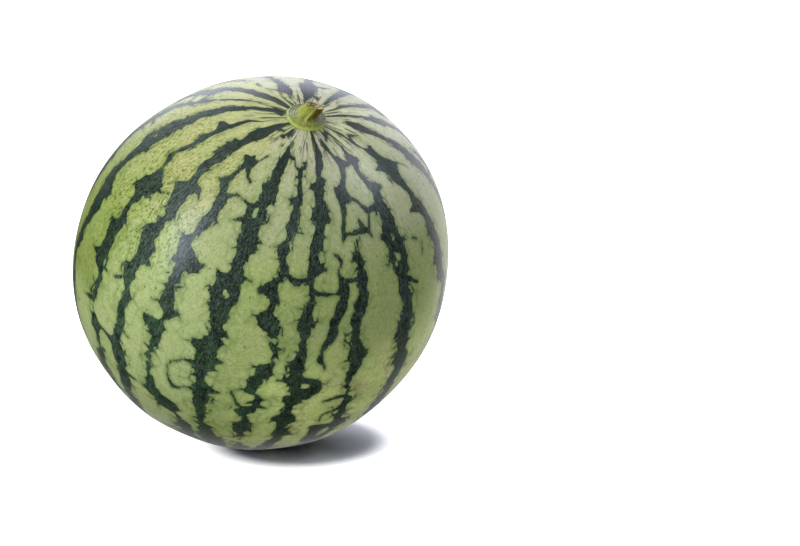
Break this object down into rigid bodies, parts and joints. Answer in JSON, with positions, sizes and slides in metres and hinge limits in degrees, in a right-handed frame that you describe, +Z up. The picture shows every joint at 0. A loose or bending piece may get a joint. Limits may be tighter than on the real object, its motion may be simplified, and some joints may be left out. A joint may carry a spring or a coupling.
{
  "type": "watermelon",
  "caption": "Small round watermelon, whole, with wavy dark green stripes and the cut stub of its stalk, resting on a small flat spot.",
  "frame": {"origin": "middle of the fruit's box on the surface that it rests on", "axes": "+Z up, away from the resting spot; -Y towards the side that the stem end leans to and the picture shows"},
  "size_m": [0.2004, 0.2004, 0.198],
  "materials": {
    "rind": null,
    "stalk": null
  },
  "bodies": {
    "root": {"fruit": "rind", "stalk": "stalk"}
  },
  "joints": []
}
